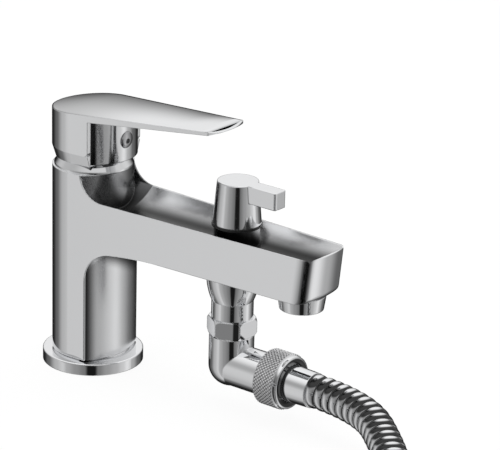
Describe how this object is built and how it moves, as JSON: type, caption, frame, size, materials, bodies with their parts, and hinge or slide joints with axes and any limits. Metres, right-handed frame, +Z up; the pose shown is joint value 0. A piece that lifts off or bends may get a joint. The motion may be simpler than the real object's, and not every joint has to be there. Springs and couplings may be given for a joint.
{
  "type": "bath mixer",
  "caption": "Single-lever bath mixer with a channelled spout, a quarter-turn diverter knob, a ribbed shower hose on an elbow below the spout, and a two-spray handset in its wall bracket.",
  "frame": {"origin": "centre of the base on the deck", "axes": "+X along the spout, +Z up from the deck"},
  "size_m": [0.4116, 0.3166, 0.1441],
  "materials": {
    "chrome": "polished chrome plate on brass",
    "lever_chrome": "polished chrome plate on cast zinc",
    "brass": "plain turned brass",
    "steel": "plain stainless steel",
    "rubber": "matt black sealing rubber",
    "disc": null,
    "cartridge_plastic": "moulded engineering plastic",
    "black_plastic": "smooth black plastic",
    "index": "chromed plastic",
    "hose": "bright metallised ribbed sleeve over a soft bore",
    "plated_plastic": "chromed plastic",
    "grey_plastic": "smooth light grey plastic"
  },
  "bodies": {
    "mixer": {"body": "chrome", "base_ring": "chrome", "base_gasket": "rubber", "cartridge_seal": "rubber", "cartridge_base": "cartridge_plastic", "fixed_disc": "disc", "cartridge_housing": "cartridge_plastic", "cartridge_nut": "brass", "trim_ring": "chrome", "diverter_seal": "rubber", "diverter_bonnet": "brass", "glide_washer": "black_plastic", "aerator_housing": "chrome", "aerator_insert": "cartridge_plastic", "aerator_washer": "rubber", "outlet_adapter": "chrome", "outlet_nut": "chrome", "outlet_washer": "rubber", "outlet_elbow": "chrome", "union_washer": "rubber", "union_nut": "chrome", "hose_ferrule": "chrome", "hose_lead": "hose", "hose_coil": "hose", "hose_tail": "hose", "end_ferrule": "chrome", "cone_nut": "chrome", "handset_body": "plated_plastic", "handset_washer": "rubber", "wall_bracket": "plated_plastic"},
    "lever_carrier": {"stem_carrier": "cartridge_plastic", "pivot_pin": "steel"},
    "lever_handle": {"lever": "lever_chrome", "lever_stem": "brass", "lever_screw": "steel", "index_button": "index", "index_dot": "black_plastic"},
    "disc_slider": {"disc_carrier": "cartridge_plastic", "moving_disc": "disc"},
    "diverter": {"diverter_spindle": "brass", "diverter_knob": "lever_chrome", "knob_screw": "steel"},
    "selector": {"selector_ring": "plated_plastic", "spray_face": "grey_plastic", "nozzle_mat": "rubber"}
  },
  "joints": [
    {"name": "lever_turn", "type": "hinge", "parent": "mixer", "child": "lever_carrier", "pos_m": [0, 0, 0.097], "axis": [0, 0, 1], "range_deg": [-45, 45]},
    {"name": "lever_lift", "type": "hinge", "parent": "lever_carrier", "child": "lever_handle", "pos_m": [0, 0, 0.097], "axis": [0, -1, 0], "range_deg": [0, 20]},
    {"name": "disc_slide", "type": "slide", "parent": "lever_carrier", "child": "disc_slider", "axis": [1, 0, 0], "range_m": [0, 0.00195]},
    {"name": "diverter_turn", "type": "hinge", "parent": "mixer", "child": "diverter", "pos_m": [0.093, 0, 0.097], "axis": [0, 0, 1], "range_deg": [0, 90]},
    {"name": "spray_turn", "type": "hinge", "parent": "mixer", "child": "selector", "pos_m": [-0.03879, -0.16217, 0.07833], "axis": [0.4763, -0.2323, 0.848], "range_deg": [0, 60]}
  ],
  "couplings": [
    {"joint": "disc_slide", "follows": "lever_lift", "m_per_rad": 0.0055}
  ]
}
